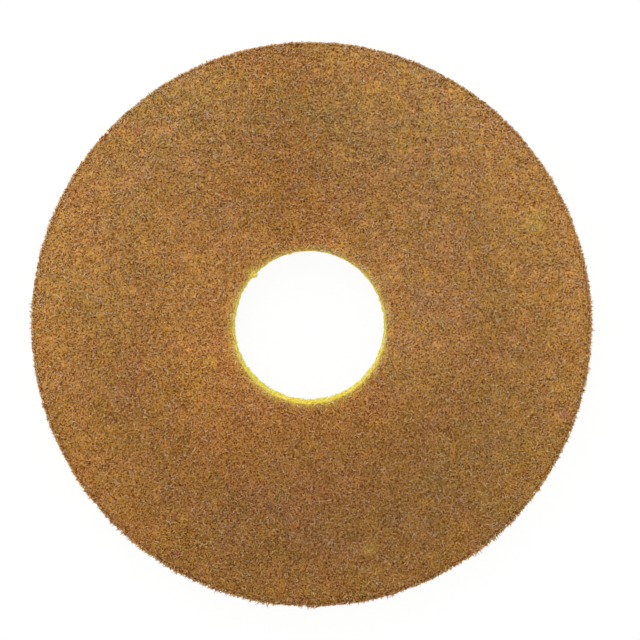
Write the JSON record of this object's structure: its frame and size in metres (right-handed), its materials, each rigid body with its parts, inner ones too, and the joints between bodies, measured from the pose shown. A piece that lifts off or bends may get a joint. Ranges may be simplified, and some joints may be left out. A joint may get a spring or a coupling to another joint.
{
  "type": "floor polishing pad",
  "caption": "Round nonwoven floor pad with a large centre hole, a brown abrasive face on a springy yellow fibre web, and a torn tie at the hole's edge.",
  "frame": {"origin": "centre of the back face, on the surface that the pad lies on", "axes": "+Z out of the abrasive face, through the pad's thickness; +Y is up in the picture"},
  "size_m": [0.3045, 0.3072, 0.025],
  "materials": {
    "yellow_web": "matte",
    "brown_coat": "matte"
  },
  "bodies": {
    "root": {"web_body": "yellow_web", "abrasive_face": "brown_coat"}
  },
  "joints": []
}
